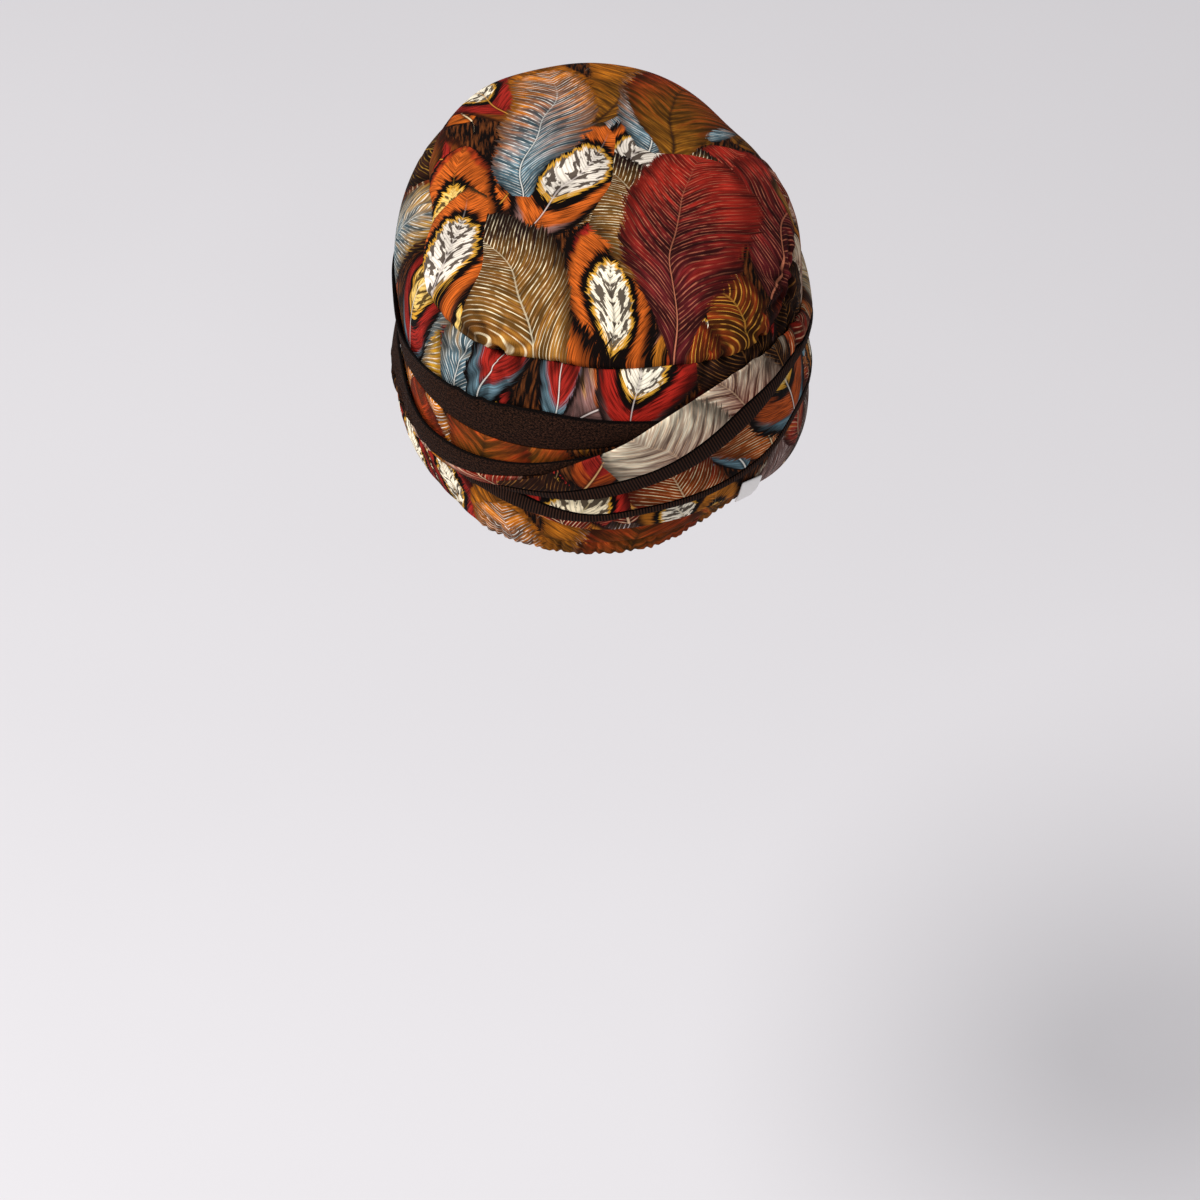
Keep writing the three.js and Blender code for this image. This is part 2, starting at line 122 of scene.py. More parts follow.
def make_camera():
    """The photograph's long lens, straight behind the wrap and 41 degrees above its rim."""
    distance = FOCAL_PX / PX_PER_MM * MM
    behind = Vector((0.0, math.cos(ELEVATION), math.sin(ELEVATION)))
    across = Vector((-1.0, 0.0, 0.0))
    above = across.cross(-behind)
    dip = math.atan(AIM_ABOVE_CENTRE_PX / FOCAL_PX)
    forward = -behind * math.cos(dip) - above * math.sin(dip)
    lens = bpy.data.cameras.new("studio camera")
    lens.sensor_width = SENSOR_MM
    lens.lens = FOCAL_PX / FRAME_PX * SENSOR_MM
    lens.clip_end = FAR_CLIP
    camera = bpy.data.objects.new("studio camera", lens)
    camera.location = AIM + behind * distance
    camera.rotation_euler = forward.to_track_quat("-Z", "Y").to_euler()
    bpy.context.collection.objects.link(camera)
    bpy.context.scene.camera = camera
    bpy.context.scene.view_settings.view_transform = "Standard"


def make_light(name, place, size, watts):
    lamp = bpy.data.lights.new(name, "AREA")
    lamp.shape = "DISK"
    lamp.size = size
    lamp.energy = watts
    holder = bpy.data.objects.new(name, lamp)
    holder.location = place
    holder.rotation_euler = (AIM - Vector(place)).to_track_quat("-Z", "Y").to_euler()
    bpy.context.collection.objects.link(holder)


def make_studio():
    for name, place, size, watts in SOFTBOXES:
        make_light(name, place, size, watts)
    world = bpy.data.worlds.new("studio air")
    world.use_nodes = True
    air = world.node_tree.nodes["Background"]
    air.inputs["Color"].default_value = AIR_COLOUR
    air.inputs["Strength"].default_value = AIR_STRENGTH
    bpy.context.scene.world = world


def make_floor():
    body = bmesh.new()
    bmesh.ops.create_grid(body, x_segments=1, y_segments=1, size=FLOOR_REACH)
    bmesh.ops.translate(body, verts=body.verts, vec=(0.0, 0.0, -FLOOR_DROP))
    mesh = bpy.data.meshes.new("studio floor")
    body.to_mesh(mesh)
    body.free()
    floor = bpy.data.objects.new("studio_floor", mesh)
    bpy.context.collection.objects.link(floor)
    floor.data.materials.append(matte_paper())


# Materials

def linear(hex_code):
    """An sRGB hex colour as linear values."""
    parts = [int(hex_code[i:i + 2], 16) / 255 for i in (0, 2, 4)]
    turned = [c / 12.92 if c <= 0.04045 else ((c + 0.055) / 1.055) ** 2.4 for c in parts]
    return (*turned, 1.0)


def add(tree, kind, *inputs, out=0, stops=None, **settings):
    """A node with its settings and links.

    The inputs are sockets to link, values, or None, in order, or one dict by name. stops,
    for a ramp, are its positions and hex colours.
    """
    made = tree.nodes.new(kind)
    for key, value in settings.items():
        setattr(made, key, value)
    if len(inputs) == 1 and isinstance(inputs[0], dict):
        pairs = [(made.inputs[key], value) for key, value in inputs[0].items()]
    else:
        pairs = zip(made.inputs, inputs)
    for socket, value in pairs:
        if isinstance(value, bpy.types.NodeSocket):
            tree.links.new(value, socket)
        elif value is not None:
            socket.default_value = value
    if stops:
        scale = made.color_ramp
        scale.interpolation = "CONSTANT" if len(stops) > 3 else "LINEAR"
        while len(scale.elements) < len(stops):
            scale.elements.new(1.0)
        for element, (position, colour) in zip(scale.elements, stops):
            element.position = position
            element.color = linear(colour)
    return made.outputs[out]


MATH = "ShaderNodeMath"
VECTOR = "ShaderNodeVectorMath"
MIX = "ShaderNodeMixRGB"
SPAN = "ShaderNodeMapRange"
RAMP = "ShaderNodeValToRGB"
NOISE = "ShaderNodeTexNoise"

# Dyes of the print: burnt orange, rust, ochre, browns, cream, and a little blue and mauve
BODY_DYES = ["B8501C", "C08434", "7A4214", "A02C18", "C8641C", "2A1710", "B0741C", "6E92A0",
             "96601A", "5E1C20", "B4803A", "B8501C", "3A2015", "96706A"]
VEIN_DYES = ["F0D8B0", "F4E4C0", "D89A3C", "F2C9A0", "F4DDB0", "8A5A2A", "F6E8C4", "F0ECE2",
             "2E1A10", "C87A5A", "F0D8A0", "F0C080", "D9A23A", "E8D8D0"]
TIP_DYES = ["D8801E", "7E1E12", "D09A2A", "2E1810", "B8421A", "E4D8BE", "3E2C16", "AE2A1E"]
RING_DYES = ["B8421A", "A8241A", "A8641C", "A84A1C", "8E2018", "C05A1C"]
LIGHT_DYES = ["FAEED4", "F0E0BC", "FAF0DA", "E0BA68", "EADECE", "FAEED4"]
DEEP_BROWN = linear("0A0403")
MOTTLE_BROWN = linear("2E1A0A")


def even_stops(colours):
    return [(i / len(colours), colour) for i, colour in enumerate(colours)]


def painted_leaf_layer():
    """One layer of painted leaves and ringed petals on a jittered grid, in millimetres.

    Gives the colour, and a mask that is 1 on a leaf. Leaves taper to a point, with a midrib
    and slanting veins. About half have an eye with rings near the broad end instead.
    """
    tree = bpy.data.node_groups.new("painted leaf layer", "ShaderNodeTree")
    face = tree.interface
    face.new_socket("cloth", in_out="INPUT", socket_type="NodeSocketVector")
    for name in ("wide", "tall", "turn", "keep", "seed"):
        face.new_socket(name, in_out="INPUT", socket_type="NodeSocketFloat")
    face.new_socket("colour", in_out="OUTPUT", socket_type="NodeSocketColor")
    face.new_socket("mask", in_out="OUTPUT", socket_type="NodeSocketFloat")
    given = tree.nodes.new("NodeGroupInput").outputs

    # Each leaf's own axes, after a slow sway of the whole cloth
    offset = add(tree, "ShaderNodeCombineXYZ", given["seed"], given["seed"], given["seed"])
    offset = add(tree, VECTOR, offset, (173.0, 97.0, 0.0), operation="MULTIPLY")
    place = add(tree, VECTOR, given["cloth"], offset, operation="ADD")
    sway = add(tree, NOISE, {"Vector": place, "Scale": 0.017, "Detail": 1.0}, out=1)
    sway = add(tree, VECTOR, sway, (0.5, 0.5, 0.5), operation="SUBTRACT")
    place = add(tree, VECTOR, sway, (SWAY_MM, SWAY_MM, 0.0), place, operation="MULTIPLY_ADD")
    cell = add(tree, "ShaderNodeCombineXYZ", given["wide"], given["tall"], 1.0)
    grid = add(tree, VECTOR, place, cell, operation="DIVIDE")
    sown = add(tree, "ShaderNodeTexVoronoi",
               {"Vector": grid, "Scale": 1.0, "Randomness": 0.5}, voronoi_dimensions="2D").node
    local = add(tree, VECTOR, grid, sown.outputs["Position"], operation="SUBTRACT")
    local = add(tree, VECTOR, local, cell, operation="MULTIPLY")
    chance = add(tree, "ShaderNodeSeparateColor", sown.outputs["Color"]).node.outputs
    lean = add(tree, MATH, chance[0], 0.5, operation="SUBTRACT")
    lean = add(tree, MATH, lean, given["turn"], operation="MULTIPLY")
    local = add(tree, "ShaderNodeVectorRotate", {"Vector": local, "Angle": lean},
                rotation_type="Z_AXIS")
    axes = add(tree, "ShaderNodeSeparateXYZ", local).node.outputs

    # Outline: share is 0 on the midrib and 1 on the edge
    length = add(tree, MATH, given["tall"], LEAF_LENGTH, operation="MULTIPLY")
    along = add(tree, MATH, axes[1], length, operation="DIVIDE")
    square = add(tree, MATH, along, along, operation="MULTIPLY")
    broad = add(tree, MATH, chance[1], LEAF_MORE, LEAF_LEAST, operation="MULTIPLY_ADD")
    broad = add(tree, MATH, broad, given["wide"], operation="MULTIPLY")
    bend = add(tree, MATH, chance[2], 0.5, operation="SUBTRACT")
    bend = add(tree, MATH, bend, broad, operation="MULTIPLY")
    bent = add(tree, MATH, bend, square, axes[0], operation="MULTIPLY_ADD")
    aside = add(tree, MATH, bent, operation="ABSOLUTE")
    taper = add(tree, MATH, 1.0, square, operation="SUBTRACT", use_clamp=True)
    taper = add(tree, MATH, taper, 0.6, operation="POWER")
    swell = add(tree, MATH, along, 0.32, 1.0, operation="MULTIPLY_ADD")
    outline = add(tree, MATH, taper, swell, operation="MULTIPLY")
    outline = add(tree, MATH, outline, broad, 0.02, operation="MULTIPLY_ADD")
    share = add(tree, MATH, aside, outline, operation="DIVIDE")

    # Brush hairs 0.6 mm wide and broader strokes, both slanting off the midrib as veins do
    slant = add(tree, MATH, aside, -0.9, axes[1], operation="MULTIPLY_ADD")
    own = add(tree, MATH, chance[0], 90.0, operation="MULTIPLY")
    stroke_at = add(tree, "ShaderNodeCombineXYZ", slant, aside, own)
    hair_at = add(tree, VECTOR, stroke_at, (1.5, 0.15, 1.0), operation="MULTIPLY")
    hair = add(tree, NOISE, {"Vector": hair_at, "Scale": 1.0, "Detail": 2.0})
    brush_at = add(tree, VECTOR, stroke_at, (0.33, 0.06, 1.3), operation="MULTIPLY")
    brush = add(tree, NOISE, {"Vector": brush_at, "Scale": 1.0, "Detail": 3.0})
    blot_at = add(tree, VECTOR, stroke_at, (0.42, 0.26, 1.7), operation="MULTIPLY")
    blot = add(tree, NOISE, {"Vector": blot_at, "Scale": 1.0, "Detail": 3.0})
    wash = add(tree, NOISE, {"Vector": place, "Scale": 0.06, "Detail": 3.0})
    fuzz = add(tree, MATH, hair, 0.5, operation="SUBTRACT")
    drift = add(tree, MATH, brush, 0.5, operation="SUBTRACT")
    ragged = add(tree, MATH, fuzz, 0.42, share, operation="MULTIPLY_ADD")
    ragged = add(tree, MATH, drift, 0.30, ragged, operation="MULTIPLY_ADD")

    # Body: two dyes blended along the leaf, shaded by the strokes
    body = add(tree, RAMP, chance[0], stops=even_stops(BODY_DYES))
    tip = add(tree, RAMP, chance[1], stops=even_stops(TIP_DYES))
    rim = add(tree, RAMP, chance[2], stops=even_stops(RING_DYES))
    light = add(tree, RAMP, chance[1], stops=even_stops(LIGHT_DYES))
    vein_dye = add(tree, RAMP, chance[0], stops=even_stops(VEIN_DYES))
    reach = add(tree, MATH, drift, 2.2, along, operation="MULTIPLY_ADD")
    reach = add(tree, MATH, share, 0.5, reach, operation="MULTIPLY_ADD")
    body = add(tree, MIX, add(tree, SPAN, reach, -0.2, 0.9, 0.0, 1.0), body, tip)
    deeper = add(tree, MIX, 1.0, body, linear("8A4A22"), blend_type="MULTIPLY")
    deepest = add(tree, MIX, 0.85, body, DEEP_BROWN)
    body = add(tree, MIX, add(tree, SPAN, hair, 0.40, 0.60, 0.55, 0.0), body, deeper)
    body = add(tree, MIX, add(tree, SPAN, brush, 0.39, 0.60, 0.92, 0.0), body, deepest)

    # Thin veins, stronger on some leaves, fading at the edge and where the brush lifts
    vein = add(tree, MATH, slant, 2 * math.pi / VEIN_PITCH_MM, operation="MULTIPLY")
    vein = add(tree, MATH, drift, 3.5, vein, operation="MULTIPLY_ADD")
    vein = add(tree, MATH, vein, operation="SINE")
    vein = add(tree, MATH, fuzz, 1.2, vein, operation="MULTIPLY_ADD")
    vein = add(tree, SPAN, vein, 0.62, 0.98, 0.0, 1.0)
    lifted = add(tree, SPAN, blot, 0.40, 0.56, 0.10, 0.90)
    vein = add(tree, MATH, vein, lifted, operation="MULTIPLY")
    strength = add(tree, SPAN, chance[2], 0.1, 0.9, 0.3, 1.0)
    vein = add(tree, MATH, vein, strength, operation="MULTIPLY")
    outer = add(tree, SPAN, share, 0.55, 1.0, 1.0, 0.25)
    vein = add(tree, MATH, vein, outer, operation="MULTIPLY")
    veined = add(tree, MIX, vein, body, vein_dye)

    # Eye: a pale mottled field, a gold line, a dark ring and a brushed fringe
    up = add(tree, MATH, along, 0.16, operation="SUBTRACT")
    up = add(tree, MATH, up, 1.22, operation="MULTIPLY")
    eye_at = add(tree, "ShaderNodeCombineXYZ", share, up, 0.0)
    eye = add(tree, VECTOR, eye_at, operation="LENGTH", out=1)
    eye = add(tree, MATH, fuzz, 0.22, eye, operation="MULTIPLY_ADD")
    eye = add(tree, MATH, drift, 0.20, eye, operation="MULTIPLY_ADD")
    mottle = add(tree, SPAN, blot, 0.49, 0.53, 0.0, 0.92)
    hatch = add(tree, MATH, slant, 2 * math.pi / HATCH_PITCH_MM, operation="MULTIPLY")
    hatch = add(tree, MATH, hatch, operation="SINE")
    hatch = add(tree, SPAN, hatch, 0.2, 0.8, 0.0, 0.35)
    mottle = add(tree, MATH, mottle, hatch, operation="MAXIMUM")
    field = add(tree, MIX, mottle, light, MOTTLE_BROWN)
    fringe_tone = add(tree, SPAN, hair, 0.38, 0.60, 0.36, 1.15)
    fringe_tone = add(tree, "ShaderNodeCombineColor", fringe_tone, fringe_tone, fringe_tone)
    fringe = add(tree, MIX, 1.0, rim, fringe_tone, blend_type="MULTIPLY")
    petal = add(tree, MIX, add(tree, SPAN, eye, 0.40, 0.43, 0.0, 1.0), field, linear("C9922E"))
    petal = add(tree, MIX, add(tree, SPAN, eye, 0.45, 0.48, 0.0, 1.0), petal, DEEP_BROWN)
    petal = add(tree, MIX, add(tree, SPAN, eye, 0.58, 0.66, 0.0, 1.0), petal, fringe)
    petal = add(tree, MIX, add(tree, SPAN, eye, 0.94, 1.02, 0.0, 1.0), petal, body)

    # Which kind of leaf, its midrib, its dark edge and the wash over all
    draw = add(tree, MATH, chance[0], 37.0, operation="MULTIPLY")
    draw = add(tree, MATH, draw, operation="FRACT")
    kind = add(tree, MATH, draw, PLAIN_LEAVES, operation="GREATER_THAN")
    leaf = add(tree, MIX, kind, veined, petal)
    rib_end = add(tree, SPAN, along, -0.9, 0.85, 1.0, 0.0)
    shadow = add(tree, SPAN, aside, 0.5, 1.5, 0.65, 0.0)
    leaf = add(tree, MIX, add(tree, MATH, shadow, rib_end, operation="MULTIPLY"), leaf, DEEP_BROWN)
    rib = add(tree, SPAN, aside, 0.18, 0.42, 0.8, 0.0)
    leaf = add(tree, MIX, add(tree, MATH, rib, rib_end, operation="MULTIPLY"), leaf, vein_dye)
    edge = add(tree, SPAN, ragged, 0.72, 0.86, 0.0, 1.0)
    edge = add(tree, MATH, edge, add(tree, SPAN, draw, 0.1, 0.7, 0.35, 1.0), operation="MULTIPLY")
    leaf = add(tree, MIX, edge, leaf, DEEP_BROWN)
    washed = add(tree, SPAN, wash, 0.3, 0.7, 0.72, 1.22)
    washed = add(tree, "ShaderNodeCombineColor", washed, washed, washed)
    leaf = add(tree, MIX, 1.0, leaf, washed, blend_type="MULTIPLY")

    kept = add(tree, MATH, chance[1], 53.0, operation="MULTIPLY")
    kept = add(tree, MATH, kept, operation="FRACT")
    kept = add(tree, MATH, kept, given["keep"], operation="LESS_THAN")
    mask = add(tree, SPAN, ragged, 0.97, 1.02, 1.0, 0.0)
    mask = add(tree, MATH, mask, kept, operation="MULTIPLY")
    result = tree.nodes.new("NodeGroupOutput")
    tree.links.new(leaf, result.inputs["colour"])
    tree.links.new(mask, result.inputs["mask"])
    return tree


def start_material(name, roughness, sheen):
    material = bpy.data.materials.new(name)
    material.use_nodes = True
    shader = material.node_tree.nodes["Principled BSDF"]
    shader.inputs["Roughness"].default_value = roughness
    shader.inputs["Sheen Weight"].default_value = sheen
    shader.inputs["Sheen Roughness"].default_value = SHEEN_ROUGHNESS
    shader.inputs["Specular IOR Level"].default_value = SHINE
    return material, material.node_tree, shader


def knit_height(tree, cloth):
    """Fine knit loops in wales and courses, drawn about twice as coarse as the real
    jersey's so that they show."""
    axes = add(tree, "ShaderNodeSeparateXYZ", cloth).node.outputs
    wale = add(tree, MATH, axes[0], 2 * math.pi / WALE_MM, operation="MULTIPLY")
    course = add(tree, MATH, axes[1], 2 * math.pi / COURSE_MM, operation="MULTIPLY")
    loops = add(tree, MATH, add(tree, MATH, wale, operation="SINE"),
                add(tree, MATH, course, operation="COSINE"), operation="MULTIPLY")
    slub = add(tree, NOISE, {"Vector": cloth, "Scale": 0.35, "Detail": 4.0})
    return add(tree, MATH, slub, 1.6, loops, operation="MULTIPLY_ADD")


def printed_viscose_jersey(leaf_layer):
    """Matt viscose jersey with a painted leaf print, broad leaves over small ones, and painted
    shade in the bottoms of its folds."""
    material, tree, shader = start_material("printed viscose jersey", 0.85, 0.0)
    cloth = add(tree, "ShaderNodeUVMap", uv_map="cloth_mm")
    streak_at = add(tree, VECTOR, cloth, (0.9, 0.12, 1.0), operation="MULTIPLY")
    streak = add(tree, NOISE, {"Vector": streak_at, "Scale": 1.0, "Detail": 4.0})
    colour = add(tree, RAMP, streak, stops=[(0.46, "0A0403"), (0.72, "6E3A18")])
    for wide, tall, turn, keep, seed in PRINT_LAYERS:
        layer = add(tree, "ShaderNodeGroup", node_tree=leaf_layer).node
        tree.links.new(cloth, layer.inputs["cloth"])
        for name, value in (("wide", wide), ("tall", tall), ("turn", turn), ("keep", keep),
                            ("seed", seed)):
            layer.inputs[name].default_value = value
        colour = add(tree, MIX, layer.outputs["mask"], colour, layer.outputs["colour"])
    # Painted shade in the folds: the deeper a crease presses in, the nearer the print goes to
    # near-black
    fold = add(tree, "ShaderNodeAttribute", attribute_name="fold", out=2)
    painted_fold_shade = add(tree, SPAN, fold, 0.2, 2.2, 0.0, 0.8)
    colour = add(tree, MIX, painted_fold_shade, colour, linear("0A0503"))
    tree.links.new(colour, shader.inputs["Base Color"])
    bump = add(tree, "ShaderNodeBump",
               {"Strength": 0.25, "Distance": 0.0002, "Height": knit_height(tree, cloth)})
    tree.links.new(bump, shader.inputs["Normal"])
    return material


# Layers of the print from the lowest: cell width and height in mm, turn in radians, the
# share of leaves kept, and the start of the pattern
PRINT_LAYERS = [
    (32.0, 64.0, 2.6, 1.0, 0.23), (40.0, 80.0, 2.0, 1.0, 0.47), (46.0, 92.0, 1.5, 1.0, 0.31),
    (52.0, 102.0, 1.2, 1.0, 0.53), (58.0, 112.0, 1.0, 0.85, 0.91),
]


def shaded_edge(tree, tone):
    """Darkens the turned top edge of a brown strip, which lies in its own narrow shadow."""
    rise = add(tree, "ShaderNodeAttribute", attribute_name="rise", out=2)
    shade = add(tree, SPAN, rise, 0.91, 0.96, 0.0, 0.9)
    return add(tree, MIX, shade, tone, linear("020101"))


def brown_jersey_facing():
    """Plain dark brown jersey: matt, with a fine pepper of lighter fibres."""
    material, tree, shader = start_material("plain brown jersey facing", 0.9, 0.0)
    cloth = add(tree, "ShaderNodeUVMap", uv_map="cloth_mm")
    fibre = add(tree, NOISE, {"Vector": cloth, "Scale": 1.1, "Detail": 4.0, "Roughness": 0.8})
    tone = add(tree, RAMP, fibre, stops=[(0.44, "060201"), (0.60, "382116")])
    tree.links.new(shaded_edge(tree, tone), shader.inputs["Base Color"])
    bump = add(tree, "ShaderNodeBump",
               {"Strength": 0.5, "Distance": 0.0003, "Height": knit_height(tree, cloth)})
    tree.links.new(bump, shader.inputs["Normal"])
    return material


def ribbed_brown_binding():
    """Ribbed knit binding, with ribs across the strip a little coarser than the real one's, its
    dark brown given painted shade in the hollows between ribs and painted light on their tops.
    """
    material, tree, shader = start_material("ribbed brown knit binding", 0.9, 0.0)
    cloth = add(tree, "ShaderNodeUVMap", uv_map="cloth_mm")
    axes = add(tree, "ShaderNodeSeparateXYZ", cloth).node.outputs
    turn = add(tree, MATH, axes[0], 2 * math.pi / RIB_PITCH_MM, operation="MULTIPLY")
    rib = add(tree, MATH, turn, operation="SINE")
    level = add(tree, SPAN, rib, -1.0, 1.0, 0.0, 1.0)
    # Painted shade and light: the brown darkens in the hollows between ribs and lightens on their
    # tops
    tone = add(tree, RAMP, level, stops=[(0.1, "050201"), (0.9, "362016")])
    tree.links.new(shaded_edge(tree, tone), shader.inputs["Base Color"])
    bump = add(tree, "ShaderNodeBump", {"Strength": 0.7, "Distance": 0.0004, "Height": level})
    tree.links.new(bump, shader.inputs["Normal"])
    return material


def white_woven_tape():
    """Soft white woven tape, bare."""
    material, tree, shader = start_material("white woven tape", 0.6, 0.05)
    cloth = add(tree, "ShaderNodeUVMap", uv_map="cloth_mm")
    shader.inputs["Base Color"].default_value = linear("EFECEA")
    bump = add(tree, "ShaderNodeBump",
               {"Strength": 0.3, "Distance": 0.0002, "Height": knit_height(tree, cloth)})
    tree.links.new(bump, shader.inputs["Normal"])
    return material


def matte_paper():
    """Pale grey backdrop paper."""
    material, tree, shader = start_material("pale backdrop paper", 0.95, 0.0)
    place = add(tree, "ShaderNodeTexCoord", out=3)
    grain = add(tree, NOISE, {"Vector": place, "Scale": 3.0, "Detail": 2.0})
    tone = add(tree, RAMP, grain, stops=[(0.3, "E1DEE0"), (0.7, "E3E0E2")])
    tree.links.new(tone, shader.inputs["Base Color"])
    return material


# Cloth pieces

def points_of(piece):
    flat = np.empty(len(piece.data.vertices) * 3)
    piece.data.vertices.foreach_get("co", flat)
    return flat.reshape(-1, 3)


def set_points(piece, points):
    piece.data.vertices.foreach_set("co", points.ravel())
    piece.data.update()


def angles_of(points, middle):
    """Degrees round the crown axis from the back, growing towards the wearer's right, in
    the turn nearest to the middle."""
    angle = np.degrees(np.arctan2(-points[:, 0], points[:, 1]))
    return angle - 360.0 * np.round((angle - middle) / 360.0)


def outwards(points):
    """Directions out of the cap: level on its sides, turning upwards over the crown."""
    turn = np.clip((points[:, 2] - CROWN_FROM) / CROWN_OVER, 0.0, 1.0) * CROWN_TURN
    reach = np.maximum(np.hypot(points[:, 0], points[:, 1]), TINY)
    level = np.cos(turn) / reach
    return np.column_stack((points[:, 0] * level, points[:, 1] * level, np.sin(turn)))


def dense_cloth(node_name, levels, round_edges):
    """A merged copy of a CAD node's solid, back in quads, its edges rounded, subdivided."""
    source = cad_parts[node_name]
    mesh = source.data.copy()
    mesh.transform(source.matrix_world)
    mesh.materials.clear()
    body = bmesh.new()
    body.from_mesh(mesh)
    bmesh.ops.remove_doubles(body, verts=body.verts, dist=TINY)
    bmesh.ops.join_triangles(body, faces=body.faces, angle_face_threshold=QUAD_FLATNESS,
                             angle_shape_threshold=QUAD_SKEW)
    crease = body.edges.layers.float.new("crease_edge")
    sharp = [e for e in body.edges if e.is_manifold and e.calc_face_angle() > SHARP]
    if round_edges:
        bmesh.ops.bevel(body, geom=sharp, offset=EDGE_ROUND, segments=1, affect="EDGES",
                        profile=0.5, material=-1)
    else:
        for edge in sharp:
            edge[crease] = 1.0
    clean = bpy.data.meshes.new(node_name + " cloth")
    body.to_mesh(clean)
    body.free()
    bpy.data.meshes.remove(mesh)
    piece = bpy.data.objects.new(node_name + "_cloth", clean)
    bpy.context.collection.objects.link(piece)
    finer = piece.modifiers.new("finer cloth", "SUBSURF")
    finer.levels = levels
    finer.render_levels = levels
    shown = piece.evaluated_get(bpy.context.evaluated_depsgraph_get())
    dense = bpy.data.meshes.new_from_object(shown)
    piece.modifiers.clear()
    piece.data = dense
    bpy.data.meshes.remove(clean)
    dense.name = node_name + " cloth"
    dense.polygons.foreach_set("use_smooth", [True] * len(dense.polygons))
    return piece


def edge_heights(points, middle):
    """Angles in even steps round a piece, with its lowest and highest point at each."""
    angle = angles_of(points, middle)
    key = np.round(angle / EDGE_STEP).astype(int)
    first = key.min()
    count = key.max() - first + 1
    low = np.full(count, np.inf)
    high = np.full(count, -np.inf)
    np.minimum.at(low, key - first, points[:, 2])
    np.maximum.at(high, key - first, points[:, 2])
    met = np.isfinite(low)
    at = (np.arange(count) + first) * EDGE_STEP
    return at[met], low[met], high[met]


def lay_cloth(piece, middle, along_strip, shift=(0.0, 0.0)):
    """Lays the piece's UV map in millimetres, round the cap and up it, or along a strip."""
    points = points_of(piece)
    angle = angles_of(points, middle)
    height = points[:, 2] / MM
    across = angle * MM_PER_DEGREE
    if along_strip:
        at, low, high = edge_heights(points, middle)
        line = (low + high) / 2 / MM
        slope = np.gradient(line, at * MM_PER_DEGREE)
        steps = np.hypot(np.diff(at) * MM_PER_DEGREE, np.diff(line))
        run = np.concatenate(([0.0], np.cumsum(steps)))
        tilt = np.arctan(np.interp(angle, at, slope))
        above = height - np.interp(angle, at, line)
        across = np.interp(angle, at, run) + above * np.sin(tilt)
        height = above * np.cos(tilt)
        rise = (points[:, 2] - np.interp(angle, at, low)) / np.interp(angle, at, high - low)
        piece.data.attributes.new("rise", "FLOAT", "POINT").data.foreach_set("value", rise)
    write_uv(piece, across + shift[0], height + shift[1], angle)


def write_uv(piece, across, height, angle):
    """Writes a UV map, keeping each face's corners on one side of where the turn joins."""
    mesh = piece.data
    corner = np.empty(len(mesh.loops), dtype=int)
    mesh.loops.foreach_get("vertex_index", corner)
    start = np.empty(len(mesh.polygons), dtype=int)
    total = np.empty(len(mesh.polygons), dtype=int)
    mesh.polygons.foreach_get("loop_start", start)
    mesh.polygons.foreach_get("loop_total", total)
    first = np.repeat(angle[corner[start]], total)
    turns = np.round((angle[corner] - first) / 360.0)
    uv = np.column_stack((across[corner] - turns * 360.0 * MM_PER_DEGREE, height[corner]))
    mesh.uv_layers.new(name="cloth_mm").data.foreach_set("uv", uv.ravel())


def lay_crown(piece):
    """Lays the crown's UV map in millimetres, flat as seen from above."""
    points = points_of(piece) / MM
    write_uv(piece, -points[:, 0], -points[:, 1], np.zeros(len(points)))


def crown_rim(points):
    """The crown's reach from its axis, in millimetres, by angle."""
    reach = np.hypot(points[:, 0], points[:, 1]) / MM
    key = np.round(angles_of(points, 0.0) / RIM_STEP).astype(int)
    at = np.arange(key.min(), key.max() + 1)
    return at * RIM_STEP, np.array([reach[key == k].max() for k in at])


def creased(angle, climb, reach_mm, creases):
    """How far creases press points in, in millimetres, with a low ridge on either side."""
    push = np.zeros(len(angle))
    round_mm = reach_mm * math.pi / 180.0
    for at, up, at_2, up_2, wide, deep in creases:
        across = angle - at
        across -= 360.0 * np.round(across / 360.0)
        near = np.abs(across) < abs(at_2 - at) + NEAR_DEGREES
        near &= np.abs(climb - up) < abs(up_2 - up) + NEAR_MM
        px = across[near] * round_mm[near]
        py = climb[near] - up
        sx = (at_2 - at) * round_mm[near]
        sy = up_2 - up
        f = np.clip((px * sx + py * sy) / (sx * sx + sy * sy + TINY), 0.0, 1.0)
        away = np.hypot(px - f * sx, py - f * sy) / wide
        press = np.exp(-away ** 2) - RIDGE * np.exp(-(away - RIDGE_AT) ** 2)
        push[near] += deep * np.sqrt(1.0 - f) * press
    return DEEPEST_MM * np.tanh(push / DEEPEST_MM)


def undulation(points):
    """Slow unevenness of stretched jersey, in millimetres, about half a millimetre deep."""
    x, y, z = (points / MM).T
    return (0.26 * np.sin(x / 9.0 + 0.7 * np.sin(z / 13.0)) * np.cos(y / 11.0)
            + 0.20 * np.sin(z / 7.0 + x / 17.0) * np.sin(y / 8.0 + 1.3))


